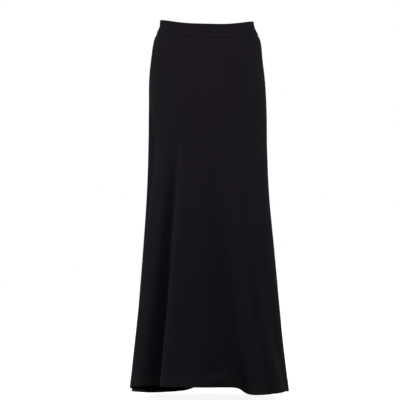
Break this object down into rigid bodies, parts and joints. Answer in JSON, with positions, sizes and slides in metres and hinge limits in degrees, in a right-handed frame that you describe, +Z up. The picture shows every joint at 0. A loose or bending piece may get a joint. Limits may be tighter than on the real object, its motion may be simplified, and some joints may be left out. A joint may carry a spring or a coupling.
{
  "type": "maxi skirt",
  "caption": "Floor-length A-line skirt in black jersey, hollow as when worn, with a plain pull-on waistband and soft folds that open towards the hem.",
  "frame": {"origin": "middle of the waist, half way up the waistband at its sides, where a wearer holds the skirt up", "axes": "+Z up along the wearer, front of the skirt towards -Y, +X to the right of someone who looks at the front"},
  "size_m": [0.4324, 0.3632, 1.0357],
  "materials": {
    "front_jersey": "matt black knitted jersey",
    "back_jersey": "matt black knitted jersey",
    "band_jersey": "matt black knitted jersey, doubled over an elastic"
  },
  "bodies": {
    "root": {"waistband": "band_jersey", "front_panel": "front_jersey", "back_panel": "back_jersey"}
  },
  "joints": []
}
